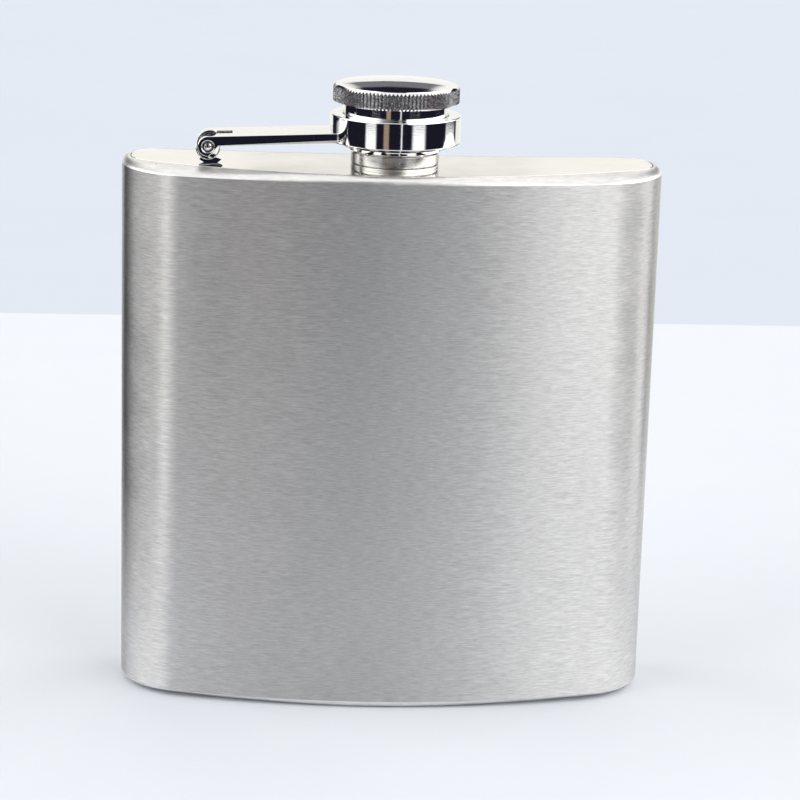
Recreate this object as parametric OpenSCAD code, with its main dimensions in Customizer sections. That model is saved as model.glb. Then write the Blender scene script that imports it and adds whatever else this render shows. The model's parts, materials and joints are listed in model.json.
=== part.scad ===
// Hip flask with a captive screw cap: a curved sheet-steel body closed by welded plates, a turned neck,
// and a knurled cap that turns in a ring on a hinged arm.
// +Z is up, +X runs from the hinge towards the neck, -Y is the bowed front.
// The origin lies at the middle of the body's width and depth, in the plane that the flask stands on.

/* [Body] */
// Width of the flask across its rounded sides
body_w = 95; // [78:0.1:125]
// Depth of the flask from the bowed front to the rear corners
body_d = 26.6; // [23:0.2:34]
// Height of the flask without its neck
body_h = 96; // [70:1:140]
// Radius that the front face bows to
front_r = 145; // [110:5:240]
// Radius of the two front corners
front_corner_r = 13.4; // [12:0.2:15]
// Radius of the two rear corners
rear_corner_r = 7; // [5:0.25:9]
// How far the back is dished in at its middle
back_dish = 2; // [0.5:0.1:2.5]
// Thickness of the sheet that the side is rolled from
side_wall = 0.6; // [0.4:0.05:0.9]

/* [End plates and their welds] */
// Thickness of the top and bottom plates
plate_t = 0.8; // [0.5:0.05:1.2]
// Height of the ground weld bevel at each end
bevel_h = 1.3; // [1:0.1:2.4]
// How far the ground weld bevel leans in
bevel_in = 1.3; // [0.9:0.1:1.8]
// Flat land between the bevel and the plate's edge
weld_land = 0.2; // [0.1:0.05:0.4]
// How far the plates' front edge bows, more than the body's, so that the weld widens to the corners
plate_bow = 9.6; // [6:0.1:10]
// Radius of the plates' two front corners
plate_corner_r = 6; // [4:0.5:10]

/* [Neck] */
// How far the neck's plain collar, under the cap, stands out beyond the thread
neck_step = 1.2; // [0.8:0.1:1.6]
// Height of the neck's plain collar
neck_collar_h = 2.6; // [2:0.1:4]
// Diameter over the neck's screw thread
thread_d = 12.9; // [10.7:0.1:15.5]
// Height of the threaded length above the collar
thread_h = 5.8; // [5:0.1:7]
// Wall of the neck from its pouring bore to the thread's crest
neck_wall = 1.55; // [1.2:0.05:2.2]
// How far the neck's spigot reaches through the top plate
spigot_drop = 1.4; // [1:0.1:2.5]
// Wall of the spigot around the pouring bore
spigot_wall = 1.6; // [1:0.1:2.2]

/* [Cap] */
// How far the knurled head stands out beyond the barrel
head_step = 1.85; // [1.2:0.05:3]
// Height of the knurled band
knurl_h = 3.2; // [2.5:0.1:5]
// Number of knurl teeth around the head
knurl_teeth = 100; // [60:2:120]
// Depth of the knurl
knurl_depth = 0.25; // [0.1:0.05:0.4]
// Height of the bevel that breaks the knurl's top edge
rim_h = 0.6; // [0.3:0.1:1]
// Rise of the domed top above the bevel
dome_h = 0.7; // [0.3:0.1:1.5]
// Wall of the insert's smooth barrel, which turns in the ring, around the cap's bore
barrel_wall = 2.05; // [1.7:0.05:2.6]
// How far the retaining flange stands out beyond the barrel
flange_step = 0.6; // [0.5:0.05:0.9]
// Thickness of the retaining flange
flange_t = 1.1; // [0.8:0.1:1.6]
// Wall of the tapered skirt at the insert's lower end
skirt_wall = 1.15; // [0.9:0.05:1.5]
// Height of the skirt below the flange
skirt_h = 1.05; // [0.8:0.05:1.5]
// Bare barrel between the ring and the knurled head, which lets the cap drop
barrel_gap = 1.9; // [1:0.1:3]
// Thickness of the sealing disc
gasket_t = 1.2; // [0.8:0.1:2]
// Depth of the press fit between insert and head
spigot_press = 1.5; // [1:0.1:2]

/* [Captive ring and arm] */
// Wall of the captive ring around the room for the flange
ring_wall = 1.41; // [1.1:0.01:2]
// Height of the captive ring
ring_h = 4.8; // [4:0.1:7]
// Thickness of the ring's inward lip
ring_lip_t = 1.2; // [0.8:0.1:1.6]
// Height of the ring's lower edge above the neck's collar
ring_lift = 1.75; // [1.2:0.05:2.4]
// Width of the arm along the hinge pin
arm_w = 9.8; // [8:0.1:12]
// Thickness of the arm
arm_t = 1.7; // [1.2:0.05:2.1]
// Distance from the hinge pin to the neck's axis
arm_reach = 32.3; // [28:0.1:34]

/* [Hinge] */
// Height of the bracket's leg, from the top plate to the cradle
leg_h = 1.33; // [1.1:0.01:2]
// Diameter of the hinge pin
pin_d = 1.5; // [1.2:0.1:1.8]
// Wall of the rounded arm end around the pin
eye_wall = 1; // [0.8:0.05:1.3]
// Width of the tongue that stands in the arm's slot
tongue_w = 3; // [2.4:0.1:4]
// Length of the slot from the pin towards the ring
slot_reach = 4.2; // [3.6:0.1:6]
// Wall of the half-round cradle below the arm's end
cradle_wall = 0.25; // [0.2:0.05:0.5]
// Width of the bracket's foot along the arm
foot_l = 4.2; // [3.6:0.1:5.5]
// Width of the bracket's waist along the arm
waist_l = 2.4; // [2:0.1:3]
// How far the sinking for the pin's peened head stands out beyond the pin
sink_step = 0.3; // [0.2:0.05:0.45]
// Depth of the sinking around the pin head
head_sink = 0.35; // [0.2:0.05:0.5]

/* [Fits] */
// Radial clearance between barrel and ring, and between pin and tongue
running_gap = 0.07; // [0.03:0.01:0.1]
// Radial room between the neck's thread and the cap's bore, which lets the cap swing off
thread_gap = 0.6; // [0.5:0.05:0.9]
// Small gap kept between faces that pass each other
face_gap = 0.12; // [0.08:0.01:0.3]

/* [Hidden] */
$fn = 96;

// Plan of the body: four convex corners, a bowed front and a dished back. A front corner ends in front
// of the rear one, which limits its radius.
rear_corner_x = body_w / 2 - rear_corner_r;
back_r = (pow(rear_corner_x, 2) + pow(back_dish, 2)) / (2 * back_dish);
rear_corner_y = body_d / 2 - rear_corner_r;
corner_seam = 0.2;
front_cy = front_r - body_d / 2;
corner_room = (pow(front_r, 2) - pow(body_w / 2, 2) - pow(front_cy - rear_corner_y + corner_seam, 2))
    / (2 * front_r - body_w);
front_turn_r = min(front_corner_r, corner_room);
back_cy = rear_corner_y + sqrt(pow(back_r + rear_corner_r, 2) - pow(rear_corner_x, 2));
back_turn = asin(rear_corner_x / (back_r + rear_corner_r));
plate_inset = bevel_in + weld_land;
plate_corner_x = body_w / 2 - plate_inset - plate_corner_r;
plate_front_r = (pow(plate_corner_x, 2) + pow(plate_bow, 2)) / (2 * plate_bow);

// Stack of the neck and the cap, all on one axis midway between the front and the dished back
neck_y = -back_dish / 2;
collar_top = body_h + neck_collar_h;
neck_top = collar_top + thread_h;
thread_r = thread_d / 2;
neck_r = thread_r + neck_step;
mouth_r = thread_r - neck_wall;
spigot_r = mouth_r + spigot_wall;
cap_bore_r = thread_r + thread_gap;
skirt_r = cap_bore_r + skirt_wall;
barrel_r = cap_bore_r + barrel_wall;
flange_r = barrel_r + flange_step;
head_r = barrel_r + head_step;
press_shoulder = 1;
press_r = barrel_r - press_shoulder;
ring_bore_r = barrel_r + running_gap;
ring_room_r = flange_r + 2 * face_gap;
ring_r = ring_room_r + ring_wall;
insert_z = collar_top + face_gap;
flange_z = insert_z + skirt_h;
flange_top = flange_z + flange_t;
gasket_z = neck_top + face_gap;
cavity_top = gasket_z + gasket_t + face_gap / 2;
ring_z = collar_top + ring_lift;
ring_top = ring_z + ring_h;
head_z = ring_top + barrel_gap;

// Hinge, in the arm's own frame with the pin at its origin
pin_r = pin_d / 2;
sink_r = pin_r + sink_step;
eye_r = pin_r + eye_wall;
cradle_in_r = eye_r + face_gap;
cradle_out_r = cradle_in_r + cradle_wall;
pin_h = cradle_out_r + leg_h;
pin_x = -arm_reach;
pin_z = body_h + pin_h;
arm_rise = ring_z - pin_z;
arm_run = arm_reach - ring_r;
arm_slope = atan(arm_rise / arm_run);
arm_under = eye_r - arm_t;
cradle_rim = min(0, arm_under) - face_gap;
slot_w = tongue_w + 2 * face_gap;

// Points along an arc, from angle a0 to a1 in n steps
function arc(cx, cy, r, a0, a1, n) =
    [for (i = [0:n]) let (a = a0 + (a1 - a0) * i / n) [cx + r * cos(a), cy + r * sin(a)]];

// Right half of a plan that lies d inside the body, from the middle of the front to the middle of the back,
// with the radii of its front edge and front corners
function half_plan(d, bow_r, corner_r) =
    let (cy = bow_r + d - body_d / 2, cx = body_w / 2 - d - corner_r,
         corner_y = cy - sqrt(pow(bow_r - corner_r, 2) - pow(cx, 2)), turn = asin(cx / (bow_r - corner_r)))
    concat(
        arc(0, cy, bow_r, -90 + 1, -90 + turn - 1, 13),
        arc(cx, corner_y, corner_r, -90 + turn, 0, 13),
        arc(rear_corner_x, rear_corner_y, rear_corner_r - d, 4, 90 + back_turn, 11),
        arc(0, back_cy, back_r + d, -90 + back_turn - 0.6, -90 + 0.6, 7));

// Whole plan, counter-clockwise seen from above
function both_halves(h) = let (n = len(h)) concat(h, [for (i = [0:n - 1]) [-h[n - 1 - i][0], h[n - 1 - i][1]]]);

// Plan of the side sheet, moved in by d, and plan of the end plates, moved in by d
function body_plan(d) = both_halves(half_plan(d, front_r - d, front_turn_r - d));
function plate_plan(d) = both_halves(half_plan(d, plate_front_r, plate_corner_r));

// Closed loop of metal round the body; each corner of its section is a plan with a height, and the
// corners run counter-clockwise when seen with the outside of the body on the right
module plan_loop(plans, heights) {
    n = len(plans[0]);
    m = len(plans);
    points = [for (k = [0:m - 1]) for (p = plans[k]) [p[0], p[1], heights[k]]];
    faces = [for (k = [0:m - 1]) for (i = [0:n - 1])
        let (a = k * n + i, b = k * n + (i + 1) % n, c = ((k + 1) % m) * n + i,
             e = ((k + 1) % m) * n + (i + 1) % n)
        each [[a, c, b], [b, c, e]]];
    polyhedron(points, faces);
}

module side_sheet() {
    color("#b9bcbe") translate([0, 0, bevel_h]) linear_extrude(body_h - 2 * bevel_h) difference() {
        polygon(body_plan(0));
        polygon(body_plan(side_wall));
    }
}

module top_weld() {
    color("#e4e6e8") plan_loop(
        [body_plan(0), plate_plan(bevel_in), plate_plan(plate_inset), plate_plan(plate_inset)],
        [body_h - bevel_h, body_h, body_h, body_h - bevel_h]);
}

module bottom_weld() {
    color("#d5d8dc") plan_loop(
        [body_plan(0), plate_plan(plate_inset), plate_plan(plate_inset), plate_plan(bevel_in)],
        [bevel_h, bevel_h, 0, 0]);
}

module top_plate() {
    color("#eceef0") translate([0, 0, body_h - plate_t]) difference() {
        linear_extrude(plate_t) polygon(plate_plan(plate_inset));
        translate([0, neck_y, -1]) cylinder(h = plate_t + 2, r = spigot_r);
    }
}

module bottom_plate() {
    color("#c9ccd0") linear_extrude(plate_t) polygon(plate_plan(plate_inset));
}

module neck() {
    foot_groove = 0.15;
    relief_h = 0.9;
    relief_r = thread_r - 0.45;
    lead_in = 0.5;
    color("#c4c6ca") translate([0, neck_y, 0]) rotate_extrude() polygon([
        [mouth_r, body_h - plate_t - spigot_drop], [spigot_r, body_h - plate_t - spigot_drop],
        [spigot_r, body_h], [neck_r - foot_groove, body_h], [neck_r, body_h + foot_groove],
        [neck_r, collar_top], [relief_r, collar_top], [relief_r, collar_top + relief_h],
        [thread_r, collar_top + relief_h + 0.45], [thread_r, neck_top - lead_in],
        [thread_r - lead_in, neck_top], [mouth_r, neck_top]]);
}

// Bar along the pin, centred on it, with its outline drawn along the arm and up
module along_pin(width) {
    rotate([90, 0, 0]) translate([0, 0, -width / 2]) linear_extrude(width) children();
}

// Half-round trough under the arm's end, open at the top
module cradle_outline() {
    difference() {
        circle(r = cradle_out_r);
        circle(r = cradle_in_r);
        translate([-2 * cradle_out_r, cradle_rim]) square(4 * cradle_out_r);
    }
}

// Waisted leg from the foot up into the trough's wall
module leg_outline() {
    wing_h = 1.15;
    wing_l = 3.8;
    shift = 0.5;
    waist_h = 0.55;
    difference() {
        polygon([
            [shift - foot_l / 2, -pin_h], [shift + foot_l / 2, -pin_h],
            [shift + waist_l / 2, -pin_h + waist_h], [shift + wing_l / 2, -pin_h + wing_h],
            [1.2, -cradle_in_r + 0.5], [-1.2, -cradle_in_r + 0.5],
            [shift - wing_l / 2, -pin_h + wing_h], [shift - waist_l / 2, -pin_h + waist_h]]);
        circle(r = cradle_in_r);
    }
}

// Tongue that curls up through the arm's slot and over the pin, with its end lifting a little
module tongue_outline() {
    curl_end = 53;
    curl_steps = 8;
    curl_lift = 0.35;
    circle(r = cradle_in_r + cradle_wall / 2);
    polygon(concat([[0, 0]], [for (i = [0:curl_steps])
        let (a = 115 - (115 - curl_end) * i / curl_steps, r = cradle_out_r + curl_lift * i / curl_steps)
            [r * cos(a), r * sin(a)]]));
}

module hinge_bracket() {
    leg_w = arm_w - 2.4;
    color("#d8dade") translate([pin_x, neck_y, pin_z]) difference() {
        union() {
            along_pin(arm_w) cradle_outline();
            along_pin(leg_w) leg_outline();
            along_pin(tongue_w) tongue_outline();
        }
        rotate([90, 0, 0]) cylinder(h = arm_w + 2, r = pin_r + running_gap, center = true);
    }
}

module hinge_pin() {
    peen_gap = 0.12;
    peen_r = sink_r - peen_gap;
    color("#e8e9ec") translate([pin_x, neck_y, pin_z]) rotate([90, 0, 0]) rotate_extrude() polygon([
        [0, -arm_w / 2], [peen_r - 0.25, -arm_w / 2], [peen_r, -arm_w / 2 + 0.2],
        [peen_r, -arm_w / 2 + head_sink], [pin_r, -arm_w / 2 + head_sink],
        [pin_r, arm_w / 2 - head_sink], [peen_r, arm_w / 2 - head_sink],
        [peen_r, arm_w / 2 - 0.2], [peen_r - 0.25, arm_w / 2], [0, arm_w / 2]]);
}

module arm() {
    color("#dfe1e5") difference() {
        translate([pin_x, neck_y, pin_z]) rotate([0, -arm_slope, 0]) difference() {
            union() {
                along_pin(arm_w) circle(r = eye_r);
                along_pin(arm_w) translate([0, arm_under]) square([arm_reach, arm_t]);
            }
            translate([-3, -slot_w / 2, -3]) cube([3 + slot_reach, slot_w, 6]);
            rotate([90, 0, 0]) cylinder(h = arm_w + 2, r = pin_r, center = true);
            for (side = [-1, 1]) translate([0, side * (arm_w / 2 + 1 - head_sink), 0])
                rotate([90, 0, 0]) cylinder(h = 2, r = sink_r, center = true);
        }
        translate([0, neck_y, ring_z - 2]) cylinder(h = ring_h + 4, r = ring_r);
    }
}

module ring() {
    edge = 0.35;
    color("#dfe1e5") translate([0, neck_y, 0]) rotate_extrude() polygon([
        [ring_room_r, ring_z], [ring_r - edge, ring_z], [ring_r, ring_z + edge],
        [ring_r, ring_top - edge], [ring_r - edge, ring_top], [ring_bore_r, ring_top],
        [ring_bore_r, ring_top - ring_lip_t], [ring_room_r, ring_top - ring_lip_t]]);
}

// Outline of the knurl: pointed teeth all round
module knurl_outline() {
    polygon([for (i = [0:2 * knurl_teeth - 1])
        let (r = head_r - (i % 2) * knurl_depth, a = 180 * i / knurl_teeth) [r * cos(a), r * sin(a)]]);
}

module cap_head() {
    rim_in = 0.5;
    dome_steps = 6;
    crown_r = head_r - rim_in;
    knurl_top = head_z + knurl_h;
    envelope_r = head_r + 0.1;
    color("#d2d4d8") translate([0, neck_y, 0]) difference() {
        intersection() {
            translate([0, 0, head_z]) linear_extrude(knurl_h + dome_h + 1) knurl_outline();
            rotate_extrude() polygon(concat(
                [[0, head_z], [envelope_r - 0.35, head_z], [envelope_r, head_z + 0.35],
                 [envelope_r, knurl_top - rim_h]],
                [for (i = [0:dome_steps]) let (r = crown_r * (1 - i / dome_steps))
                    [r, knurl_top + dome_h * (1 - pow(r / crown_r, 2))]]));
        }
        translate([0, 0, head_z - 1]) cylinder(h = 1 + spigot_press, r = press_r);
    }
}

module cap_insert() {
    skirt_taper = 0.3;
    color("#cfd1d6") translate([0, neck_y, 0]) rotate_extrude() polygon([
        [cap_bore_r, insert_z], [skirt_r - skirt_taper, insert_z], [skirt_r, flange_z],
        [flange_r - 0.2, flange_z], [flange_r, flange_z + 0.2], [flange_r, flange_top],
        [barrel_r, flange_top], [barrel_r, head_z], [press_r, head_z],
        [press_r, head_z + spigot_press], [0, head_z + spigot_press], [0, cavity_top],
        [cap_bore_r, cavity_top]]);
}

module cap_gasket() {
    color("#f2f2ee") translate([0, neck_y, gasket_z]) cylinder(h = gasket_t, r = cap_bore_r - face_gap);
}

side_sheet();
top_weld();
bottom_weld();
top_plate();
bottom_plate();
neck();
hinge_bracket();
hinge_pin();
arm();
ring();
cap_head();
cap_insert();
cap_gasket();
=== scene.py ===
"""Looks of the hip flask: brushed body, ground welds, mirror plates, plated hinge, ring and cap."""

from __future__ import annotations

import json
import logging
import math
from collections.abc import Callable, Sequence
from dataclasses import dataclass, field
from enum import Enum

import bmesh
import bpy
from mathutils import Matrix, Vector

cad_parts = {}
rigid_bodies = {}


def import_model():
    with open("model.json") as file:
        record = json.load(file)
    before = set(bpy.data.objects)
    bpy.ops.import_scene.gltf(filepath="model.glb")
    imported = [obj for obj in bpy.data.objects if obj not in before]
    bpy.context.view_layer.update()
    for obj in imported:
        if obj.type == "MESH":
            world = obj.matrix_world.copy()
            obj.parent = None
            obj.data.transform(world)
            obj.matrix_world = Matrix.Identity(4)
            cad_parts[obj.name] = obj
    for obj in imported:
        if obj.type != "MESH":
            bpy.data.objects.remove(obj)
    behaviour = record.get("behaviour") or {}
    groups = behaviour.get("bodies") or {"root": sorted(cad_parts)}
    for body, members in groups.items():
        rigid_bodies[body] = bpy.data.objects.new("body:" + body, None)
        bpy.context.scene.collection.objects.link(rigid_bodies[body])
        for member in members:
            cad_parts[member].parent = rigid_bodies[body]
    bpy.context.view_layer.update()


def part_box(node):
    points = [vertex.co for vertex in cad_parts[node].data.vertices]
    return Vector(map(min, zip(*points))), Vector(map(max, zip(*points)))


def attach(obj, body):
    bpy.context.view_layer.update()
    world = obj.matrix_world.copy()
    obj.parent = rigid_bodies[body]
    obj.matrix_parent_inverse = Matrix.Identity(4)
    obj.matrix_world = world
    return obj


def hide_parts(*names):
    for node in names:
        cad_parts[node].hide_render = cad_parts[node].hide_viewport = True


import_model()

LOG = logging.getLogger("flask")
MM = 0.001

# Radii that two pieces share, in millimetres: the neck's spigot and its hole, the cap's barrel and its ring.
SPIGOT_RADIUS = 6.5
BARREL_RADIUS = 9.1

Flat = tuple[float, float]
Point = tuple[float, float, float]
Colour = tuple[float, float, float, float]


class Body(Enum):
    """Bodies of the frame that pieces ride on."""

    FLASK = "flask"
    ARM = "arm"
    SEAL = "seal"
    CAP = "cap"


# ---------------------------------------------------------------- measures


def box_mm(node: str) -> tuple[Vector, Vector]:
    """Gives a CAD node's box in millimetres.

    Args:
        node: Name of the CAD node.

    Returns:
        Its lowest and its highest corner.
    """
    low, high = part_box(node)
    return Vector(low) / MM, Vector(high) / MM


def arc(cx: float, cy: float, radius: float, start: float, end: float, steps: int) -> list[Flat]:
    """Gives points along an arc.

    Args:
        cx: First coordinate of the centre.
        cy: Second coordinate of the centre.
        radius: Radius of the arc.
        start: Angle that it starts at, in degrees.
        end: Angle that it ends at, in degrees.
        steps: Number of steps between the two.

    Returns:
        The points, one more than there are steps.
    """
    turns = [math.radians(start + (end - start) * i / steps) for i in range(steps + 1)]
    return [(cx + radius * math.cos(t), cy + radius * math.sin(t)) for t in turns]


@dataclass(frozen=True)
class BodyPlan:
    """Plan of the body: four convex corners, a bowed front and a dished back, in millimetres.

    The end plates' front edge is bowed more than the body's, so the weld widens to the corners. Each arc is
    trimmed by a small angle, in degrees, so that it shares no point with the next.
    """

    width: float
    depth: float
    front_radius: float = 145.0
    front_corner: float = 13.4
    plate_radius: float = 88.13
    plate_corner: float = 6.0
    rear_corner: float = 7.0
    back_dish: float = 2.0
    front_steps: int = 22
    corner_steps: int = 18
    rear_steps: int = 16
    back_steps: int = 12
    front_trim: float = 0.3
    rear_trim: float = 3.0
    back_trim: float = 0.4
    middle_trim: float = 0.2

    def outline(self, inset: float = 0.0) -> list[Flat]:
        """Gives the body's outline at some inset."""
        return self.loop(inset, self.front_radius - inset, self.front_corner - inset)

    def plate_outline(self, inset: float) -> list[Flat]:
        """Gives an end plate's outline at some inset."""
        return self.loop(inset, self.plate_radius, self.plate_corner)

    def between(self, inset: float, share: float, height: float) -> list[Point]:
        """Gives a loop part of the way from the body's outline to a plate's.

        Args:
            inset: The plate's inset.
            share: How much of the way, from 0 to 1.
            height: The loop's height.

        Returns:
            Its points.
        """
        pairs = zip(self.outline(), self.plate_outline(inset))
        return [
            (a[0] + share * (b[0] - a[0]), a[1] + share * (b[1] - a[1]), height) for a, b in pairs
        ]

    def loop(self, inset: float, bow: float, corner: float) -> list[Flat]:
        """Gives a closed outline, anticlockwise from above.

        Args:
            inset: How far it lies inside the body's outer face.
            bow: Radius of its front edge.
            corner: Radius of its front corners.

        Returns:
            Its points; the first isn't repeated at the end.
        """
        front_cy = bow + inset - self.depth / 2
        corner_x = self.width / 2 - inset - corner
        corner_y = front_cy - math.sqrt((bow - corner) ** 2 - corner_x**2)
        front_turn = math.degrees(math.asin(corner_x / (bow - corner)))
        rear_x = self.width / 2 - self.rear_corner
        rear_y = self.depth / 2 - self.rear_corner
        back_radius = (rear_x**2 + self.back_dish**2) / (2 * self.back_dish)
        back_cy = rear_y + math.sqrt((back_radius + self.rear_corner) ** 2 - rear_x**2)
        back_turn = math.degrees(math.asin(rear_x / (back_radius + self.rear_corner)))
        front_end = -90 - self.front_trim + front_turn
        back_start = -90 - self.back_trim + back_turn
        right = [
            *arc(0, front_cy, bow, -90 + self.front_trim, front_end, self.front_steps),
            *arc(corner_x, corner_y, corner, -90 + front_turn, 0, self.corner_steps),
            *arc(rear_x, rear_y, self.rear_corner - inset, self.rear_trim, 90 + back_turn, self.rear_steps),
            *arc(0, back_cy, back_radius + inset, back_start, -90 + self.middle_trim, self.back_steps),
        ]
        return right + [(-x, y) for x, y in reversed(right)]


# ---------------------------------------------------------------- bench work


class Bench:
    """A new piece, shaped in edit mode in millimetres and made metres when it is finished."""

    weld_distance = 0.002

    def __init__(self, name: str) -> None:
        """Starts an empty piece.

        Args:
            name: Name of the piece.
        """
        if bpy.context.object is not None and bpy.context.object.mode != "OBJECT":
            bpy.ops.object.mode_set(mode="OBJECT")
        bpy.ops.object.select_all(action="DESELECT")
        bpy.ops.mesh.primitive_plane_add(size=1.0)
        self.piece: bpy.types.Object = bpy.context.object
        self.piece.name = self.piece.data.name = name
        bpy.ops.object.mode_set(mode="EDIT")
        bpy.ops.mesh.select_all(action="SELECT")
        bpy.ops.mesh.delete(type="VERT")

    def trace(self, points: Sequence[Point], closed: bool = True) -> None:
        """Draws a line of edges from a lone vertex by extruding it from point to point.

        Args:
            points: The points that the line passes through.
            closed: Whether it returns to the first.
        """
        bpy.ops.mesh.select_mode(type="VERT")
        bpy.ops.mesh.select_all(action="DESELECT")
        bpy.ops.mesh.primitive_plane_add(size=1.0, location=points[0])
        bpy.ops.mesh.merge(type="CENTER")
        stops = [Vector(p) for p in points] + ([Vector(points[0])] if closed else [])
        for here, there in zip(stops, stops[1:]):
            bpy.ops.mesh.extrude_region_move(TRANSFORM_OT_translate={"value": there - here})
        bpy.ops.mesh.select_linked()
        bpy.ops.mesh.remove_doubles(threshold=self.weld_distance)

    def fill(self) -> None:
        """Fills the selected closed line with one face."""
        bpy.ops.mesh.edge_face_add()

    def pull(self, x: float = 0.0, y: float = 0.0, z: float = 0.0) -> None:
        """Extrudes the selection.

        Args:
            x: Distance along X.
            y: Distance along Y.
            z: Distance along Z.
        """
        bpy.ops.mesh.extrude_region_move(TRANSFORM_OT_translate={"value": (x, y, z)})

    def loft(self, sections: Sequence[Sequence[Point]]) -> None:
        """Extrudes a filled outline from section to section; each has its corners in the same order.

        Args:
            sections: The closed outlines, from the first face to the last.
        """
        self.trace(sections[0])
        self.fill()
        for here, there in zip(sections, sections[1:]):
            self.pull()
            mesh = bmesh.from_edit_mesh(self.piece.data)
            for vert in [v for v in mesh.verts if v.select]:
                nearest = min(range(len(here)), key=lambda i: (Vector(here[i]) - vert.co).length_squared)
                vert.co = there[nearest]
            bmesh.update_edit_mesh(self.piece.data)

    def face_out(self) -> None:
        """Welds what touches and turns every face outwards."""
        bpy.ops.mesh.select_all(action="SELECT")
        bpy.ops.mesh.remove_doubles(threshold=self.weld_distance)
        bpy.ops.mesh.normals_make_consistent(inside=False)

    def slab(self, outline: Sequence[Flat], width: float, middle: float) -> None:
        """Adds a bar along Y with the given outline.

        Args:
            outline: The bar's outline as X and Z.
            width: Its width along Y.
            middle: The Y of its middle.
        """
        self.trace([(x, middle - width / 2, z) for x, z in outline])
        self.fill()
        self.pull(y=width)

    def turn(self, profile: Sequence[Flat], axis: Vector, steps: int, closed: bool = True) -> None:
        """Turns a profile round an upright axis.

        Args:
            profile: Radius and height of each corner.
            axis: A point on the axis.
            steps: Number of faces round the piece.
            closed: Whether the profile is a closed loop, clear of the axis.
        """
        self.trace([(axis.x + r, axis.y, z) for r, z in profile], closed)
        bpy.ops.mesh.spin(steps=steps, angle=math.tau, center=axis, axis=(0, 0, 1))
        self.face_out()

    def pick(self, wanted: Callable[[Vector, Vector], bool], kind: str = "FACE") -> None:
        """Selects by place and nothing else.

        Args:
            wanted: Says whether something with that centre and that normal is selected.
            kind: VERT, EDGE or FACE.
        """
        bpy.ops.mesh.select_mode(type=kind)
        bpy.ops.mesh.select_all(action="DESELECT")
        mesh = bmesh.from_edit_mesh(self.piece.data)
        mesh.normal_update()
        if kind == "VERT":
            for vert in mesh.verts:
                vert.select_set(wanted(vert.co, vert.normal))
        elif kind == "EDGE":
            for edge in mesh.edges:
                a, b = edge.verts
                edge.select_set(wanted((a.co + b.co) / 2, (b.co - a.co).normalized()))
        else:
            for face in mesh.faces:
                face.select_set(wanted(face.calc_center_median(), face.normal))
        mesh.select_flush_mode()
        bmesh.update_edit_mesh(self.piece.data)

    def choose(self) -> None:
        """Leaves edit mode with the piece as the active object and the only one selected."""
        bpy.ops.object.mode_set(mode="OBJECT")
        bpy.ops.object.select_all(action="DESELECT")
        self.piece.select_set(True)
        bpy.context.view_layer.objects.active = self.piece

    def modify(self, kind: str, **settings: object) -> None:
        """Applies a modifier to the piece, which stays in object mode.

        Args:
            kind: Type of the modifier.
            settings: Settings of the modifier.
        """
        self.choose()
        tool = self.piece.modifiers.new(kind, kind)
        for key, value in settings.items():
            setattr(tool, key, value)
        bpy.ops.object.modifier_apply(modifier=tool.name)

    def resume(self) -> None:
        """Goes back to edit mode with the whole piece selected."""
        bpy.ops.object.mode_set(mode="EDIT")
        bpy.ops.mesh.select_all(action="SELECT")

    def cut(self, cutter: Bench) -> None:
        """Takes another piece away from this one, and throws that one out.

        Args:
            cutter: The piece that is taken away.
        """
        self.modify("BOOLEAN", operation="DIFFERENCE", solver="EXACT", object=cutter.piece)
        bpy.data.objects.remove(cutter.piece, do_unlink=True)
        self.resume()

    def thicken(self, wall: float) -> None:
        """Gives an open shell a wall, inwards.

        Args:
            wall: Thickness of the wall.
        """
        self.modify("SOLIDIFY", thickness=wall, offset=-1.0, use_even_offset=True)
        self.resume()

    def round_arrises(self, width: float, steps: int = 3, above: float = 30.0) -> None:
        """Rounds every edge sharper than an angle.

        Args:
            width: Width of the rounding.
            steps: Number of faces across it.
            above: The angle, in degrees.
        """
        limit = math.radians(above)
        self.modify("BEVEL", width=width, segments=steps, limit_method="ANGLE", angle_limit=limit)
        self.resume()

    def finish(
        self, finish: Finish, body: Body, slot: str, *nodes: str, smooth: float = 32.0
    ) -> bpy.types.Object:
        """Makes the piece metres, dresses it and puts it on its body.

        Args:
            finish: The finish that it takes.
            body: The body that it rides on.
            slot: The record's material slot; not used.
            nodes: The CAD nodes that it stands for.
            smooth: Edges flatter than this angle are shaded smooth, in degrees.

        Returns:
            The finished piece.
        """
        self.choose()
        self.piece.scale = (MM, MM, MM)
        bpy.ops.object.transform_apply(location=True, rotation=True, scale=True)
        bpy.ops.object.shade_smooth_by_angle(angle=math.radians(smooth))
        self.modify("WEIGHTED_NORMAL", keep_sharp=True)
        self.piece.data.materials.clear()
        self.piece.data.materials.append(finish.material())
        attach(self.piece, body.value)
        if nodes:
            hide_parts(*nodes)
        LOG.info("%s: %d faces, on %s", self.piece.name, len(self.piece.data.polygons), body.value)
        return self.piece


# ---------------------------------------------------------------- finishes

# Weight of each finer layer of a noise, the middle stretch that carries nearly all of it, and its layers.
NOISE_ROUGHNESS = 0.72
NOISE_LOW = 0.3
NOISE_HIGH = 0.7
LINE_DETAIL = 5.0
CLOUD_DETAIL = 2.0
# Shifts that keep the patterns apart, in metres.
LINE_SEED = 0.0
CLOUD_SEED = 7.3
SPECK_SEED = 3.1
# Pinholes: their colour, how flat they are, and half the width of their edge in the noise.
SPECK_COLOUR = "4A4846"
SPECK_FLATNESS = 0.5
SPECK_EDGE = 0.03
# A quarter turn of the highlight's stretch stands it upright on lines that run level.
UPRIGHT = 0.25


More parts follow.
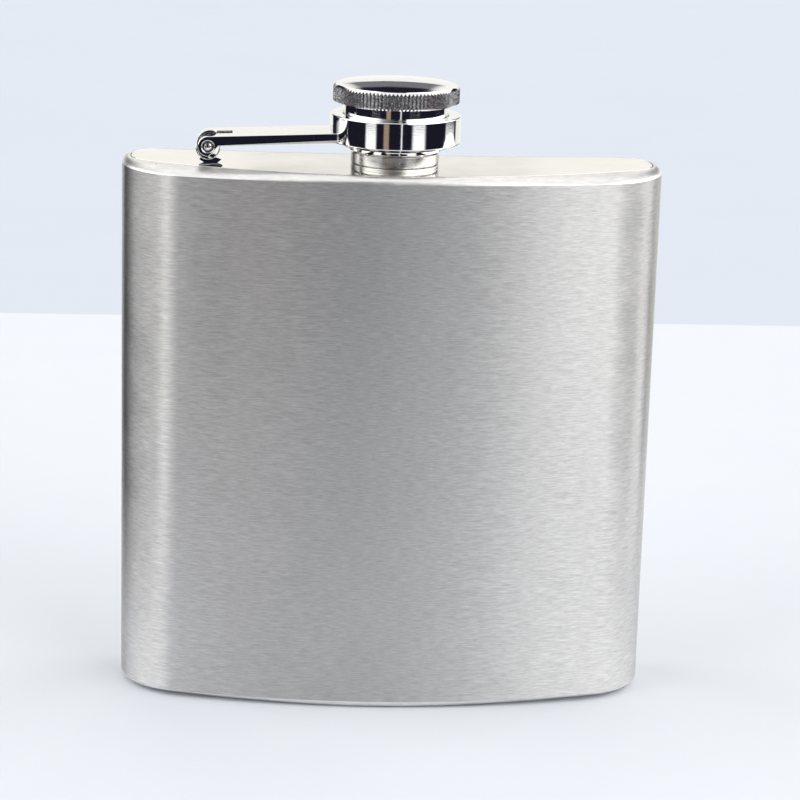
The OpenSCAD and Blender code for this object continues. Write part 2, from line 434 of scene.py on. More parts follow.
def linear(hex_colour: str, strength: float = 1.0) -> Colour:
    """Turns an sRGB hex colour to linear.

    Args:
        hex_colour: Six hex digits.
        strength: Factor on the linear colour.

    Returns:
        Linear red, green and blue, and an alpha of 1.
    """
    parts = [int(hex_colour[i : i + 2], 16) / 255 for i in (0, 2, 4)]
    even = [c / 12.92 if c <= 0.04045 else ((c + 0.055) / 1.055) ** 2.4 for c in parts]
    red, green, blue = (strength * c for c in even)
    return red, green, blue, 1.0


def add_node(
    tree: bpy.types.NodeTree, kind: str, inputs: dict | None = None, **settings: object
) -> bpy.types.Node:
    """Adds a node with its settings and links.

    Args:
        tree: The node tree.
        kind: Type of the node.
        inputs: What each input takes, by name or number: a socket to link, or a value.
        settings: Settings of the node.

    Returns:
        The node.
    """
    node = tree.nodes.new(kind)
    for key, value in settings.items():
        setattr(node, key, value)
    for key, value in (inputs or {}).items():
        if isinstance(value, bpy.types.NodeSocket):
            tree.links.new(value, node.inputs[key])
        else:
            node.inputs[key].default_value = value
    return node


@dataclass(frozen=True)
class Finish:
    """A surface as its material and the way that it was made; sizes of the pattern are in millimetres."""

    name: str
    colour: str
    shade: str
    metallic: float
    roughness: float
    roughness_swing: float
    line_length: float
    line_width: float
    line_depth: float
    cloud_size: float
    stretch: float = 0.0
    specks: float = 0.0
    speck_size: float = 0.8

    def noise(
        self, tree: bpy.types.NodeTree, size: Point, detail: float, seed: float
    ) -> bpy.types.NodeSocket:
        """Adds noise whose grains have a real size.

        Args:
            tree: The node tree.
            size: Size of a grain along X, Y and Z.
            detail: Number of finer layers.
            seed: Shift that keeps two patterns apart, in metres.

        Returns:
            The noise, from 0 to 1.
        """
        place = add_node(tree, "ShaderNodeTexCoord").outputs["Object"]
        scale = tuple(1 / (s * MM) for s in size)
        shift = (seed, seed, seed)
        mapped = add_node(tree, "ShaderNodeMapping", {"Vector": place, "Scale": scale, "Location": shift})
        layers = {"Scale": 1.0, "Detail": detail, "Roughness": NOISE_ROUGHNESS}
        noise = add_node(tree, "ShaderNodeTexNoise", {"Vector": mapped.outputs[0], **layers})
        return noise.outputs["Fac"]

    def swing(
        self, tree: bpy.types.NodeTree, value: bpy.types.NodeSocket, low: float, high: float
    ) -> bpy.types.NodeSocket:
        """Spreads the middle of a noise over a range.

        Args:
            tree: The node tree.
            value: The noise.
            low: What a low noise becomes.
            high: What a high noise becomes.

        Returns:
            The spread value.
        """
        spread = {"From Min": NOISE_LOW, "From Max": NOISE_HIGH, "To Min": low, "To Max": high}
        return add_node(tree, "ShaderNodeMapRange", {"Value": value, **spread}).outputs[0]

    def material(self) -> bpy.types.Material:
        """Builds the material, once.

        Returns:
            The material.
        """
        made = bpy.data.materials.get(self.name)
        if made is not None:
            return made
        made = bpy.data.materials.new(self.name)
        made.use_nodes = True
        tree = made.node_tree
        tree.nodes.clear()
        line_grain = (self.line_length, self.line_length, self.line_width)
        lines = self.noise(tree, line_grain, LINE_DETAIL, LINE_SEED)
        cloud = self.noise(tree, (self.cloud_size,) * 3, CLOUD_DETAIL, CLOUD_SEED)
        both = add_node(tree, "ShaderNodeMath", {0: lines, 1: cloud}, operation="ADD").outputs[0]
        half = add_node(tree, "ShaderNodeMath", {0: both, 1: 0.5}, operation="MULTIPLY").outputs[0]
        tone = add_node(
            tree,
            "ShaderNodeMix",
            {0: self.swing(tree, lines, 0.0, 1.0), 6: linear(self.shade), 7: linear(self.colour)},
            data_type="RGBA",
        ).outputs[2]
        if self.specks > 0:
            speck_grain = (self.speck_size, self.speck_size, self.speck_size * SPECK_FLATNESS)
            grain = self.noise(tree, speck_grain, CLOUD_DETAIL, SPECK_SEED)
            edge = 1.0 - self.specks
            ends = {"Value": grain, "From Min": edge - SPECK_EDGE, "From Max": edge + SPECK_EDGE}
            mask = add_node(tree, "ShaderNodeMapRange", ends).outputs[0]
            speckled = {0: mask, 6: tone, 7: linear(SPECK_COLOUR)}
            tone = add_node(tree, "ShaderNodeMix", speckled, data_type="RGBA").outputs[2]
        smoothest = self.roughness - self.roughness_swing
        roughest = self.roughness + self.roughness_swing
        rough = self.swing(tree, half, smoothest, roughest)
        bump = add_node(
            tree, "ShaderNodeBump", {"Height": lines, "Strength": 1.0, "Distance": self.line_depth * MM}
        ).outputs[0]
        inputs = {"Base Color": tone, "Metallic": self.metallic, "Roughness": rough, "Normal": bump}
        if self.stretch > 0:
            level = add_node(tree, "ShaderNodeTangent", direction_type="RADIAL", axis="Z").outputs[0]
            inputs |= {"Anisotropic": self.stretch, "Anisotropic Rotation": UPRIGHT, "Tangent": level}
        surface = add_node(tree, "ShaderNodeBsdfPrincipled", inputs)
        add_node(tree, "ShaderNodeOutputMaterial", {"Surface": surface.outputs[0]})
        return made


# Stainless sheet, brushed level with a belt of about 180 grit: streaks of light stand upright on it, and
# short level lines show. Real lines are 0.05 mm wide, drawn 0.18 mm wide so that they show.
BRUSHED_SHEET = Finish(
    "brushed_stainless_sheet", "E2E1DF", "B5B4B3", 1.0, 0.42, 0.07, 2.2, 0.18, 0.010, 9.0, stretch=0.85
)
# Weld bead of the same steel, ground flush and linished: satin, nearly white, with a few pinholes.
GROUND_WELD = Finish(
    "ground_steel_weld", "F7F6F4", "DCDBD9", 1.0, 0.36, 0.06, 2.4, 0.25, 0.007, 6.0,
    specks=0.24, speck_size=0.9,
)
# Stainless plate buffed to a mirror, with faint hairlines.
MIRROR_PLATE = Finish("buffed_steel_plate", "EDEBE6", "E6E4DF", 1.0, 0.07, 0.03, 9.0, 0.6, 0.0006, 9.0)
# Bottom plate, buffed less and worn by the table.
WORN_PLATE = Finish("worn_steel_plate", "D5D3CF", "C4C2BF", 1.0, 0.2, 0.06, 9.0, 0.5, 0.003, 8.0)
# Turned steel collar, left from the lathe tool: grey, with lighter patches where hands polish it.
TURNED_STEEL = Finish("turned_steel_neck", "DAD8D2", "BDBCBB", 1.0, 0.28, 0.1, 6.0, 0.5, 0.004, 2.2)
# Bright plating over turned brass: near-black and white reflections, with fine level turning lines.
BRIGHT_PLATE = Finish("bright_plated_fitting", "F1F0EE", "E2E2E4", 1.0, 0.055, 0.03, 1.8, 0.2, 0.0025, 1.6)
# The same plating over the rolled knurl, rougher in its grooves. Its near-black speckles are painted shade
# that stands in for the dark grooves between bright tooth tips.
KNURL_PLATE_PAINTED_SHADE = Finish("plated_knurl_painted_shade", "F4F4F6", "2C2C34", 1.0, 0.17, 0.08, 0.28, 0.22, 0.05, 0.5)
# Silicone sealing disc: white, soft, dull.
SILICONE = Finish("silicone_seal", "F0EFEA", "E4E2DB", 0.0, 0.55, 0.05, 1.2, 1.2, 0.01, 2.0)
# Satin white acrylic sheet that the flask stands on.
TABLE_TOP = Finish("white_acrylic_table", "D6D9DE", "D4D7DD", 0.0, 0.6, 0.02, 60.0, 60.0, 0.0, 120.0)
# Pale paper sweep behind the table.
PAPER = Finish("pale_paper_sweep", "C4CAD3", "C2C8D2", 0.0, 0.9, 0.02, 200.0, 200.0, 0.0, 400.0)


# ---------------------------------------------------------------- the body


@dataclass
class Shell:
    """Side sheet, ground welds and end plates, in millimetres."""

    sheet_wall: float = 0.6
    bevel_height: float = 1.3
    bevel_inset: float = 1.3
    weld_crown: tuple[Flat, ...] = (
        (0.0, 0.0), (0.06, 0.3), (0.3, 0.66), (0.7, 0.92), (1.0, 1.0),
    )
    weld_land: float = 0.2
    plate_seat: float = 0.5
    joint_gap: float = 0.14
    plate_rounding: float = 0.06
    weld_rounding: float = 0.05
    rounding_steps: int = 2
    sharp_angle: float = 60.0
    plate_thickness: float = 0.5
    cutter_below: float = 9.0
    cutter_above: float = 5.0
    cutter_steps: int = 64
    plan: BodyPlan = field(init=False)
    height: float = field(init=False)
    neck_axis: Vector = field(init=False)

    def __post_init__(self) -> None:
        """Takes the body's own sizes from the frame."""
        low, high = box_mm("side_sheet")
        self.plan = BodyPlan(high.x - low.x, high.y - low.y)
        self.height = box_mm("top_plate")[1].z
        neck_low, neck_high = box_mm("neck")
        self.neck_axis = (neck_low + neck_high) / 2

    def side_sheet(self) -> None:
        """Makes the brushed sheet that wraps the sides."""
        bench = Bench("side_sheet_brushed")
        foot = self.bevel_height
        bench.trace([(x, y, foot) for x, y in self.plan.outline(0.0)])
        bench.pull(z=self.height - 2 * foot)
        bench.face_out()
        bench.thicken(self.sheet_wall)
        bench.finish(BRUSHED_SHEET, Body.FLASK, "brushed_steel", "side_sheet")

    def end_weld(self, name: str, node: str, up: bool) -> None:
        """Makes one end's ground weld with the seat that its plate lies in.

        Args:
            name: Name of the piece.
            node: The CAD node that it stands for.
            up: Whether it is the top end.
        """
        way = 1.0 if up else -1.0
        end = self.height if up else 0.0
        arris = end - way * self.bevel_height
        sections = [
            self.plan.between(self.bevel_inset, share, arris + way * rise * self.bevel_height)
            for share, rise in self.weld_crown
        ]
        seat = self.plan.plate_outline(self.bevel_inset + self.weld_land)
        sections += [[(x, y, end) for x, y in seat], [(x, y, end - way * self.plate_seat) for x, y in seat]]
        bench = Bench(name)
        bench.loft(sections)
        bench.face_out()
        if up:
            bench.cut(self.neck_hole())
        bench.round_arrises(self.weld_rounding, self.rounding_steps, self.sharp_angle)
        bench.finish(GROUND_WELD, Body.FLASK, "ground_weld", node, smooth=40.0)

    def neck_hole(self) -> Bench:
        """Makes the cutter for the hole that the neck's spigot fills.

        Returns:
            The cutter.
        """
        cutter = Bench("neck_hole")
        foot = self.height - self.cutter_below
        top = self.height + self.cutter_above
        wall = [(0.0, foot), (SPIGOT_RADIUS, foot), (SPIGOT_RADIUS, top), (0.0, top)]
        cutter.turn(wall, self.neck_axis, self.cutter_steps, False)
        return cutter

    def end_plate(self, name: str, node: str, finish: Finish, slot: str, up: bool) -> None:
        """Makes one end's plate.

        Args:
            name: Name of the piece.
            node: The CAD node that it stands for.
            finish: Its finish.
            slot: The record's material slot.
            up: Whether it is the top end.
        """
        way = 1.0 if up else -1.0
        end = self.height if up else 0.0
        inset = self.bevel_inset + self.weld_land + self.joint_gap
        bench = Bench(name)
        bench.trace([(x, y, end - way * self.plate_thickness) for x, y in self.plan.plate_outline(inset)])
        bench.fill()
        bench.pull(z=way * self.plate_thickness)
        bench.face_out()
        if up:
            bench.cut(self.neck_hole())
        bench.round_arrises(self.plate_rounding, self.rounding_steps, self.sharp_angle)
        bench.finish(finish, Body.FLASK, slot, node, smooth=20.0)

    def build(self) -> None:
        """Makes every piece of the body."""
        self.side_sheet()
        self.end_weld("top_weld_bead", "top_weld", True)
        self.end_weld("bottom_weld_bead", "bottom_weld", False)
        self.end_plate("top_plate_mirror", "top_plate", MIRROR_PLATE, "mirror_plate", True)
        self.end_plate("bottom_plate_worn", "bottom_plate", WORN_PLATE, "brushed_steel", False)


# ---------------------------------------------------------------- neck and cap


@dataclass
class Neck:
    """Turned neck with its screw thread, in millimetres.

    The collar has a turned groove, as heights above the plate, and the thread's ridge is a trapezium.
    """

    bore_radius: float = 4.9
    collar_height: float = 2.6
    collar_sink: float = 0.1
    groove_low: float = 0.54
    groove_high: float = 0.78
    groove_slope: float = 0.03
    groove_depth: float = 0.5
    mouth_chamfer: float = 0.3
    turned_steps: int = 96
    rounding: float = 0.1
    rounding_steps: int = 2
    sharp_angle: float = 40.0
    core_radius: float = 5.9
    thread_radius: float = 6.45
    thread_pitch: float = 1.4
    thread_turns: float = 2.6
    thread_steps: int = 40
    thread_start: float = 0.9
    thread_root: float = 0.15
    ridge_foot: float = 0.42
    ridge_crest: float = 0.1

    def build(self) -> None:
        """Makes the neck: a turned core, and a thread that is extruded face by face along its helix."""
        low, high = box_mm("neck")
        axis = (low + high) / 2
        plate = box_mm("top_plate")[1].z
        collar = (high.x - low.x) / 2
        shoulder = plate + self.collar_height
        seat = plate - self.collar_sink
        bore, core, cut = self.bore_radius, self.core_radius, self.mouth_chamfer
        groove = collar - self.groove_depth
        groove_low, groove_high = plate + self.groove_low, plate + self.groove_high
        bench = Bench("neck_turned")
        bench.turn(
            [
                (bore, low.z), (SPIGOT_RADIUS, low.z), (SPIGOT_RADIUS, seat), (collar, seat),
                (collar, groove_low), (groove, groove_low + self.groove_slope),
                (groove, groove_high - self.groove_slope), (collar, groove_high),
                (collar, shoulder), (core, shoulder), (core, high.z - cut),
                (core - cut, high.z), (bore + cut, high.z), (bore, high.z - cut),
            ],
            axis, self.turned_steps,
        )
        bench.round_arrises(self.rounding, self.rounding_steps, self.sharp_angle)
        rise = self.thread_pitch / self.thread_steps
        foot = shoulder + self.thread_start
        root = core - self.thread_root
        ridge = [
            (root, -self.ridge_foot), (self.thread_radius, -self.ridge_crest),
            (self.thread_radius, self.ridge_crest), (root, self.ridge_foot),
        ]
        bench.trace([(axis.x + r, axis.y, foot + z) for r, z in ridge])
        bench.fill()
        for _ in range(int(self.thread_turns * self.thread_steps)):
            bench.pull(z=rise)
            bpy.ops.transform.rotate(
                value=math.tau / self.thread_steps, orient_axis="Z", center_override=(axis.x, axis.y, 0)
            )
        bpy.ops.mesh.select_linked()
        bpy.ops.mesh.normals_make_consistent(inside=False)
        bench.finish(TURNED_STEEL, Body.FLASK, "neck_steel", "neck")


@dataclass
class Cap:
    """Knurled head, insert and sealing disc, in millimetres.

    The head's knurl has a bright turned rim over it, and its grooves run a little way up into that rim.
    """

    teeth: int = 100
    tooth_depth: float = 0.32
    underside_bevel: float = 0.3
    rim_height: float = 0.6
    rim_width: float = 0.5
    groove_run: float = 0.4
    dome_rise: float = 0.7
    knurl_height: float = 3.2
    knurl_waist: float = 1.2
    knurl_slack: float = 0.05
    underside_inset: float = 0.35
    rim_lap: float = 0.06
    rim_fall: float = 0.12
    upper_run: float = 1.0
    bright_run: float = 0.5
    dome_steps: int = 8
    skirt_radius: float = 8.2
    skirt_chamfer: float = 0.35
    flange_rise: float = 1.05
    flange_height: float = 1.1
    flange_lower_chamfer: float = 0.15
    flange_upper_chamfer: float = 0.1
    head_lap: float = 0.1
    seal_gap: float = 0.12
    press_ring: tuple[float, float, float, float] = (4.9, 5.1, 5.8, 6.0)
    press_depth: float = 0.08
    seal_chamfer: float = 0.15

    def head(self) -> None:
        """Makes the head: turned, then every other column of the knurl pushed in."""
        low, high = box_mm("cap_head")
        axis = (low + high) / 2
        radius = (high.x - low.x) / 2
        crown = radius - self.rim_width
        shoulder = low.z + self.knurl_height
        shares = [1 - i / self.dome_steps for i in range(self.dome_steps + 1)]
        dome = [(crown * share, shoulder + self.dome_rise * (1 - share**2)) for share in shares]
        rim = [(crown + self.rim_lap, shoulder - self.rim_fall), *dome]
        foot = radius - self.tooth_depth - self.underside_inset
        bench = Bench("cap_head_knurled")
        bench.turn(
            [
                (0.0, low.z), (foot, low.z), (radius, low.z + self.underside_bevel),
                (radius, low.z + self.knurl_waist), (radius, shoulder - self.rim_height), *rim,
            ],
            axis, 2 * self.teeth, False,
        )
        pitch = math.pi / self.teeth

        def in_groove(place: Vector, _: Vector) -> bool:
            """Says whether a vertex of the knurl's face lies in a groove.

            Args:
                place: The vertex's place.

            Returns:
                Whether it does.
            """
            arm = Vector((place.x - axis.x, place.y - axis.y))
            column = round(math.atan2(arm.y, arm.x) / pitch)
            return column % 2 == 1 and arm.length > radius - self.knurl_slack

        upper = shoulder - self.upper_run
        bench.pick(lambda place, normal: in_groove(place, normal) and place.z > upper, "VERT")
        bpy.ops.transform.translate(value=(0, 0, self.groove_run))
        bench.pick(in_groove, "VERT")
        shrink = 1 - self.tooth_depth / radius
        bpy.ops.transform.resize(value=(shrink, shrink, 1.0), center_override=(axis.x, axis.y, 0))
        piece = bench.finish(BRIGHT_PLATE, Body.CAP, "fitting_chrome", "cap_head", smooth=26.0)
        # The knurl's faces take the plating speckled near-black, painted shade of its grooves.
        piece.data.materials.append(KNURL_PLATE_PAINTED_SHADE.material())
        for face in piece.data.polygons:
            out = Vector((face.center.x - axis.x * MM, face.center.y - axis.y * MM)).length
            if out > (radius - self.tooth_depth) * MM and face.center.z < (shoulder - self.bright_run) * MM:
                face.material_index = 1

    def insert(self) -> None:
        """Makes the insert: skirt, retaining flange and the barrel that turns in the ring."""
        low, high = box_mm("cap_insert")
        axis = (low + high) / 2
        flange = (high.x - low.x) / 2
        head_foot = box_mm("cap_head")[0].z
        seal_low, seal_high = box_mm("cap_gasket")
        bore = (seal_high.x - seal_low.x) / 2 + self.seal_gap
        skirt, cut = self.skirt_radius, self.skirt_chamfer
        flange_low = low.z + self.flange_rise
        flange_high = flange_low + self.flange_height
        lower, upper = self.flange_lower_chamfer, self.flange_upper_chamfer
        top = head_foot + self.head_lap
        bench = Bench("cap_insert_turned")
        bench.turn(
            [
                (bore, low.z), (skirt - cut, low.z), (skirt, low.z + cut), (skirt, flange_low),
                (flange - lower, flange_low), (flange, flange_low + lower), (flange, flange_high - upper),
                (flange - upper, flange_high), (BARREL_RADIUS, flange_high), (BARREL_RADIUS, top),
                (0.0, top), (0.0, seal_high.z), (bore, seal_high.z),
            ],
            axis, 128, True,
        )
        bench.round_arrises(0.06, 2, 50.0)
        bench.finish(BRIGHT_PLATE, Body.CAP, "fitting_chrome", "cap_insert")

    def seal(self) -> None:
        """Makes the sealing disc with the ring that the neck's rim presses in it."""
        low, high = box_mm("cap_gasket")
        axis = (low + high) / 2
        radius = (high.x - low.x) / 2
        cut = self.seal_chamfer
        inner, inner_foot, outer_foot, outer = self.press_ring
        pressed = low.z + self.press_depth
        bench = Bench("cap_seal_disc")
        bench.turn(
            [
                (0.0, low.z), (inner, low.z), (inner_foot, pressed), (outer_foot, pressed), (outer, low.z),
                (radius - cut, low.z), (radius, low.z + cut), (radius, high.z - cut),
                (radius - cut, high.z), (0.0, high.z),
            ],
            axis, 96, False,
        )
        bench.finish(SILICONE, Body.SEAL, "gasket_silicone", "cap_gasket")

    def build(self) -> None:
        """Makes every piece of the cap."""
        self.head()
        self.insert()
        self.seal()


# ---------------------------------------------------------------- ring, arm and hinge


@dataclass
class Hinge:
    """Captive ring, its arm, the pin and the bracket on the top plate, in millimetres."""

    ring_rounding: float = 0.25
    ring_taper: float = 0.06
    lip: float = 1.2
    bore_gap: float = 0.07
    ring_wall: float = 1.4
    pin_height: float = 3.45
    eye_radius: float = 1.75
    arm_thickness: float = 1.7
    arm_chamfer: float = 0.42
    arm_lap: float = 0.15
    arm_rounding: float = 0.12
    eye_lead: float = 0.1
    hinge_length: float = 4.0
    tongue_width: float = 3.0
    slot_reach: float = 4.2
    slot_room: float = 3.0
    cradle_gap: float = 0.12
    cradle_wall: float = 0.25
    head_radius: float = 0.93
    sink_radius: float = 1.05
    sink_depth: float = 0.35
    shank_radius: float = 0.75
    head_lift: float = 0.02
    leg_inset: float = 2.4
    pin: Vector = field(init=False)
    ring_low: Vector = field(init=False)
    ring_high: Vector = field(init=False)
    arm_width: float = field(init=False)
    slope: float = field(init=False)

    def __post_init__(self) -> None:
        """Takes the hinge's places from the frame."""
        pin_low, pin_high = box_mm("hinge_pin")
        self.pin = (pin_low + pin_high) / 2
        self.ring_low, self.ring_high = box_mm("ring")
        arm_low, arm_high = box_mm("arm")
        self.arm_width = arm_high.y - arm_low.y
        self.slope = math.atan2(self.ring_low.z - self.pin.z, self.ring_low.x - self.pin.x)

    def on_arm(self, x: float, z: float) -> Flat:
        """Turns a place along and above the arm, from its pin, into X and Z."""
        c, s = math.cos(self.slope), math.sin(self.slope)
        return self.pin.x + c * x - s * z, self.pin.z + s * x + c * z

    def ring(self) -> None:
        """Makes the captive ring with its inward lip."""
        axis = (self.ring_low + self.ring_high) / 2
        outer = (self.ring_high.x - self.ring_low.x) / 2
        bore = BARREL_RADIUS + self.bore_gap
        room = outer - self.ring_wall
        low, high = self.ring_low.z, self.ring_high.z
        bench = Bench("captive_ring")
        bench.turn(
            [
                (room, low), (outer - self.ring_taper, low), (outer, high), (bore, high),
                (bore, high - self.lip), (room, high - self.lip),
            ],
            axis, 144,
        )
        bench.round_arrises(self.ring_rounding, 4, 50.0)
        bench.finish(BRIGHT_PLATE, Body.ARM, "fitting_chrome", "ring")

    def arm(self) -> None:
        """Makes the arm: a bar with a round end, chamfered below, slotted and sunk for the pin's heads."""
        ring_radius = (self.ring_high.x - self.ring_low.x) / 2
        reach = -self.pin.x - ring_radius + self.ring_wall - self.arm_lap
        top = self.eye_radius
        under = top - self.arm_thickness
        eye = arc(0.0, 0.0, self.eye_radius, 90, 272, 16)
        outline = [(reach, top), *eye, (self.eye_radius + self.eye_lead, under), (reach, under)]
        bench = Bench("swing_arm")
        bench.slab([self.on_arm(x, z) for x, z in outline], self.arm_width, self.pin.y)
        bench.face_out()
        lower = self.on_arm(0.5 * reach, under)
        hinge_end = self.pin.x + self.hinge_length

        def below(place: Vector, along: Vector) -> bool:
            """Says whether an edge is one of the two long ones under the arm."""
            return abs(along.x) > 0.9 and place.z < lower[1] + 0.3 and place.x > hinge_end

        bench.pick(below, "EDGE")
        bpy.ops.mesh.bevel(offset=self.arm_chamfer, segments=1, affect="EDGES")
        slot = Bench("arm_slot")
        half = self.tongue_width / 2 + self.cradle_gap
        room, end = self.slot_room, self.slot_reach
        corners = [(-room, -room), (end, -room), (end, room), (-room, room)]
        slot.slab([self.on_arm(x, z) for x, z in corners], 2 * half, self.pin.y)
        slot.face_out()
        bench.cut(slot)
        for side in (-1, 1):
            sink = Bench("pin_sink")
            sink.slab(
                arc(self.pin.x, self.pin.z, self.sink_radius, 0, 345, 23),
                2 * self.sink_depth, self.pin.y + side * self.arm_width / 2,
            )
            sink.face_out()
            bench.cut(sink)
        bench.round_arrises(self.arm_rounding, 3, 35.0)
        bench.finish(BRIGHT_PLATE, Body.ARM, "fitting_chrome", "arm")

    def rivet(self) -> None:
        """Makes the hinge pin with a peened head at each end."""
        half = self.arm_width / 2
        head = self.head_radius
        neck = half - self.sink_depth + self.head_lift
        end = [
            (0.0, half), (0.42, half - 0.02), (0.6, half - 0.1), (0.66, half - 0.24), (0.72, half - 0.24),
            (0.8, half - 0.1), (head - 0.04, half - 0.1), (head, half - 0.16), (head, neck),
            (self.shank_radius, neck),
        ]
        profile = [(r, -y) for r, y in end] + [(r, y) for r, y in reversed(end)]
        bench = Bench("hinge_rivet")
        bench.trace([(self.pin.x, self.pin.y + y, self.pin.z + r) for r, y in profile], False)
        bpy.ops.mesh.spin(steps=40, angle=math.tau, center=self.pin, axis=(0, 1, 0))
        bench.face_out()
        bench.finish(BRIGHT_PLATE, Body.ARM, "pin_steel", "hinge_pin")

    def bracket(self) -> None:
        """Makes the bent bracket: a foot and leg, a trough under the arm's end and a tongue over the pin."""
        inner = self.eye_radius + self.cradle_gap
        outer = inner + self.cradle_wall
        x, z = self.pin.x, self.pin.z
        plate = z - self.pin_height
        low = z - self.cradle_gap
        trough = arc(x, low, inner, 182, 358, 24) + arc(x, low, outer, 358, 182, 24)
        leg = [
            (-1.6, 0.0), (2.6, 0.0), (2.45, 0.2), (1.75, 0.55), (2.3, 1.0), (2.3, 1.18), (1.2, 1.5),
            (-1.1, 1.5), (-1.45, 1.18), (-1.45, 1.0), (-0.75, 0.55), (-1.5, 0.2),
        ]
        tongue = (
            (270, 2.0), (225, 2.0), (180, 2.0), (150, 2.02), (125, 2.08), (105, 2.2), (88, 2.32), (70, 2.42),
            (54, 2.46), (54, 2.16), (72, 2.1), (90, 1.98), (108, 1.8), (135, 1.7), (180, 1.68), (225, 1.68),
            (270, 1.68),
        )
        curl = [(x + r * math.cos(math.radians(a)), z + r * math.sin(math.radians(a))) for a, r in tongue]
        bench = Bench("hinge_bracket_bent")
        bench.slab(trough, self.arm_width, self.pin.y)
        bench.slab([(x + u, plate + v) for u, v in leg], self.arm_width - self.leg_inset, self.pin.y)
        bench.slab(curl, self.tongue_width, self.pin.y)
        bench.face_out()
        bench.round_arrises(0.06, 2, 40.0)
        bench.finish(BRIGHT_PLATE, Body.FLASK, "fitting_chrome", "hinge_bracket")

    def build(self) -> None:
        """Makes every piece of the hinge."""
        self.ring()
        self.arm()
        self.rivet()
        self.bracket()


# ---------------------------------------------------------------- studio


@dataclass(frozen=True)
class Panel:
    """A lit panel of the studio, as the directions that it fills seen from the flask, in degrees.

    Azimuth 0 is straight in front of the flask and 90 to its right. The two edges are half the widths of
    its soft borders, across and upwards.
    """

    name: str
    left: float
    right: float
    low: float
    high: float
    colour: str
    strength: float
    edge: float = 2.0
    rise_edge: float = 0.5


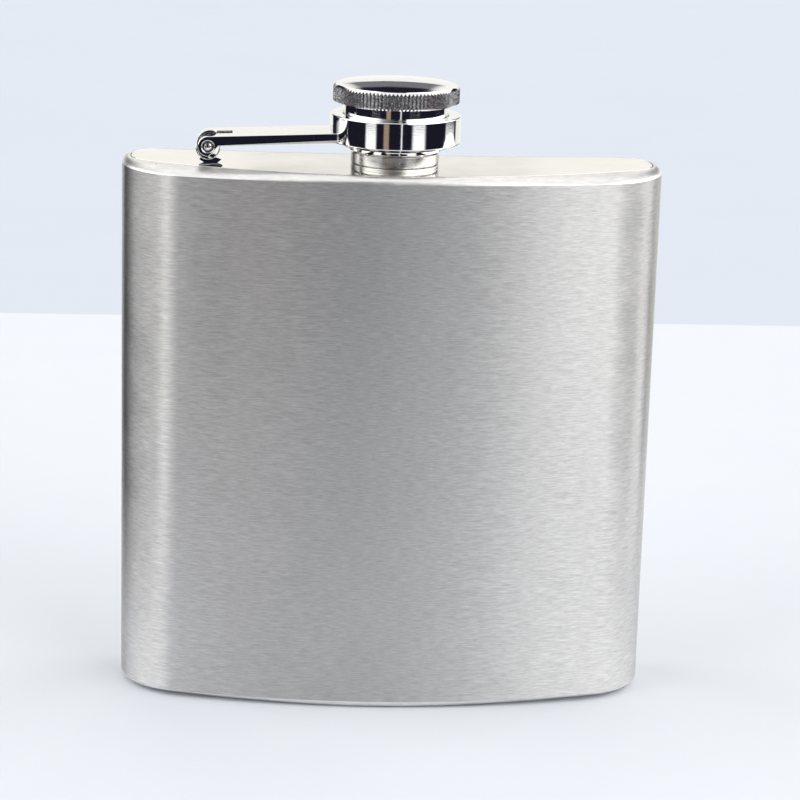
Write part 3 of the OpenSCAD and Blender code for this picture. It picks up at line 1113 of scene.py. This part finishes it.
@dataclass
class Studio:
    """Table, paper sweep, soft light and camera, in millimetres and degrees."""

    table_left: float = -100.0
    table_right: float = 142.0
    table_front: float = -255.0
    table_back: float = 292.0
    table_thickness: float = 3.0
    floor_radius: float = 9000.0
    floor_gap: float = 1.0
    floor_thickness: float = 5.0
    camera_place: Point = (-22.56, -461.501, 176.229)
    camera_target: Point = (1.48, -13.3, 57.10)
    camera_roll: float = 1.66
    lens: float = 120.68
    room: str = "1B1C28"
    backdrop: str = "E2E8F1"
    panels: tuple[Panel, ...] = (
        Panel("side box right", 22, 132, 3, 60, "FFFFFF", 2.7, 4.0, 5.0),
        Panel("low box right", 28, 51, -60, -9.7, "FFFFFF", 1.35, 3.0),
        Panel("rear strip right", 97, 123, -60, -9.7, "FFFFFF", 1.2, 2.0),
        Panel("left fill", -50, -16, 3, 60, "9A9AA0", 1.0, 16.0, 6.0),
        Panel("side box left", -122, -40, 3, 60, "FFFFFF", 2.5, 13.0, 9.0),
        Panel("low box left", -56, -37, -60, -9.7, "FFFFFF", 1.35, 2.0),
        Panel("back wall right", 130, 182, -13, 10.7, "F4F3EE", 1.13),
        Panel("back wall left", -182, -148, -13, 10.7, "F4F3EE", 1.13),
        Panel("grey board right", 173, 182, 11.5, 18, "7A7A80", 1.0, 0.3),
        Panel("grey board left", -182, -179, 11.5, 18, "7A7A80", 1.0, 0.3),
        Panel("high wall right", 164, 174.2, 10, 38, "F7F4EE", 1.15, 0.4),
        Panel("high wall left", -179.6, -166, 10, 38, "F7F4EE", 1.15, 0.4),
        Panel("rear light right", 105, 182, 36, 62, "FFFFFF", 1.25, 8.0, 4.0),
        Panel("rear light left", -182, -140, 36, 62, "FFFFFF", 1.25, 8.0, 4.0),
        Panel("tan board", -23, -14, -60, 8, "A58F7C", 1.0, 0.8),
        Panel("thin lamp", 7.4, 9.2, -60, 30, "FFFFFF", 1.4, 0.3),
        Panel("lamp glow", 4.5, 10.5, 5, 50, "FFFFFF", 0.45, 2.0, 3.0),
        Panel("ceiling", -182, 182, 54, 92, "FFFFFF", 1.1, 6.0, 6.0),
    )

    def sheet(self, name: str, low: Point, high: Point, finish: Finish) -> bpy.types.Object:
        """Makes a level sheet of the stage.

        Args:
            name: Name of the sheet.
            low: Its lowest corner.
            high: Its highest corner.
            finish: Its finish.

        Returns:
            The sheet.
        """
        bpy.ops.object.select_all(action="DESELECT")
        middle = [(a + b) / 2 * MM for a, b in zip(low, high)]
        span = [(b - a) * MM for a, b in zip(low, high)]
        bpy.ops.mesh.primitive_cube_add(size=1.0, location=middle, scale=span)
        sheet = bpy.context.object
        sheet.name = name
        bpy.ops.object.transform_apply(location=True, rotation=True, scale=True)
        sheet.data.materials.append(finish.material())
        return sheet

    def stage(self) -> None:
        """Makes the table and the paper floor beyond it, which polished metal doesn't mirror."""
        foot = (self.table_left, self.table_front, -self.table_thickness)
        self.sheet("table", foot, (self.table_right, self.table_back, 0.0), TABLE_TOP)
        far = self.floor_radius
        top = -self.table_thickness - self.floor_gap
        paper = self.sheet("paper_floor", (-far, -far, top - self.floor_thickness), (far, far, top), PAPER)
        paper.visible_glossy = False

    def world(self) -> None:
        """Lights the scene from the panels, with a plain pale backdrop behind everything."""
        world = bpy.data.worlds.new("studio")
        bpy.context.scene.world = world
        world.use_nodes = True
        tree = world.node_tree
        tree.nodes.clear()
        way = add_node(tree, "ShaderNodeTexCoord").outputs["Generated"]
        axes = add_node(tree, "ShaderNodeSeparateXYZ", {0: way}).outputs
        front = add_node(tree, "ShaderNodeMath", {0: axes[1], 1: -1.0}, operation="MULTIPLY").outputs[0]
        azimuth = add_node(tree, "ShaderNodeMath", {0: axes[0], 1: front}, operation="ARCTAN2").outputs[0]
        height = add_node(tree, "ShaderNodeMath", {0: axes[2]}, operation="ARCSINE").outputs[0]

        def past(
            angle: bpy.types.NodeSocket, limit: float, edge: float, rising: bool
        ) -> bpy.types.NodeSocket:
            """Gives 1 on one side of a limit and 0 on the other, with a soft edge between.

            Args:
                angle: The angle, in radians.
                limit: The limit, in degrees.
                edge: Half the width of the soft edge, in degrees.
                rising: Whether the 1 lies above the limit.

            Returns:
                The step.
            """
            ends = {"From Min": math.radians(limit - edge), "From Max": math.radians(limit + edge)}
            ends |= {"To Min": 0.0 if rising else 1.0, "To Max": 1.0 if rising else 0.0, "Value": angle}
            return add_node(tree, "ShaderNodeMapRange", ends, interpolation_type="SMOOTHSTEP").outputs[0]

        colour: bpy.types.NodeSocket | Colour = linear(self.room)
        for panel in self.panels:
            mask = past(azimuth, panel.left, panel.edge, True)
            for angle, limit, edge, rising in (
                (azimuth, panel.right, panel.edge, False),
                (height, panel.low, panel.rise_edge, True),
                (height, panel.high, panel.rise_edge, False),
            ):
                part = past(angle, limit, edge, rising)
                mask = add_node(tree, "ShaderNodeMath", {0: mask, 1: part}, operation="MULTIPLY").outputs[0]
            lit = {0: mask, 6: colour, 7: linear(panel.colour, panel.strength)}
            colour = add_node(tree, "ShaderNodeMix", lit, data_type="RGBA").outputs[2]
        seen = add_node(tree, "ShaderNodeLightPath").outputs["Is Camera Ray"]
        backed = {0: seen, 6: colour, 7: linear(self.backdrop)}
        shown = add_node(tree, "ShaderNodeMix", backed, data_type="RGBA")
        light = add_node(tree, "ShaderNodeBackground", {"Color": shown.outputs[2], "Strength": 1.0})
        add_node(tree, "ShaderNodeOutputWorld", {"Surface": light.outputs[0]})

    def camera(self) -> None:
        """Sets the camera at its place, with its slight roll."""
        data = bpy.data.cameras.new("camera")
        data.sensor_fit, data.sensor_width, data.lens = "HORIZONTAL", 36.0, self.lens
        data.clip_start, data.clip_end = 0.01, 60.0
        camera = bpy.data.objects.new("camera", data)
        bpy.context.collection.objects.link(camera)
        place = Vector(self.camera_place) * MM
        gaze = Vector(self.camera_target) * MM - place
        roll = Matrix.Rotation(math.radians(self.camera_roll), 3, "Z")
        turn = gaze.to_track_quat("-Z", "Y").to_matrix() @ roll
        camera.matrix_world = Matrix.LocRotScale(place, turn, None)
        bpy.context.scene.camera = camera

    def build(self) -> None:
        """Sets up the stage, the light and the camera."""
        self.stage()
        self.world()
        self.camera()
        bpy.context.scene.view_settings.view_transform = "Standard"


def main() -> None:
    """Builds the flask's pieces and the studio."""
    logging.basicConfig(level=logging.INFO, format="%(name)s %(message)s")
    for part in (Shell(), Neck(), Cap(), Hinge(), Studio()):
        part.build()


if __name__ == "__main__":
    main()
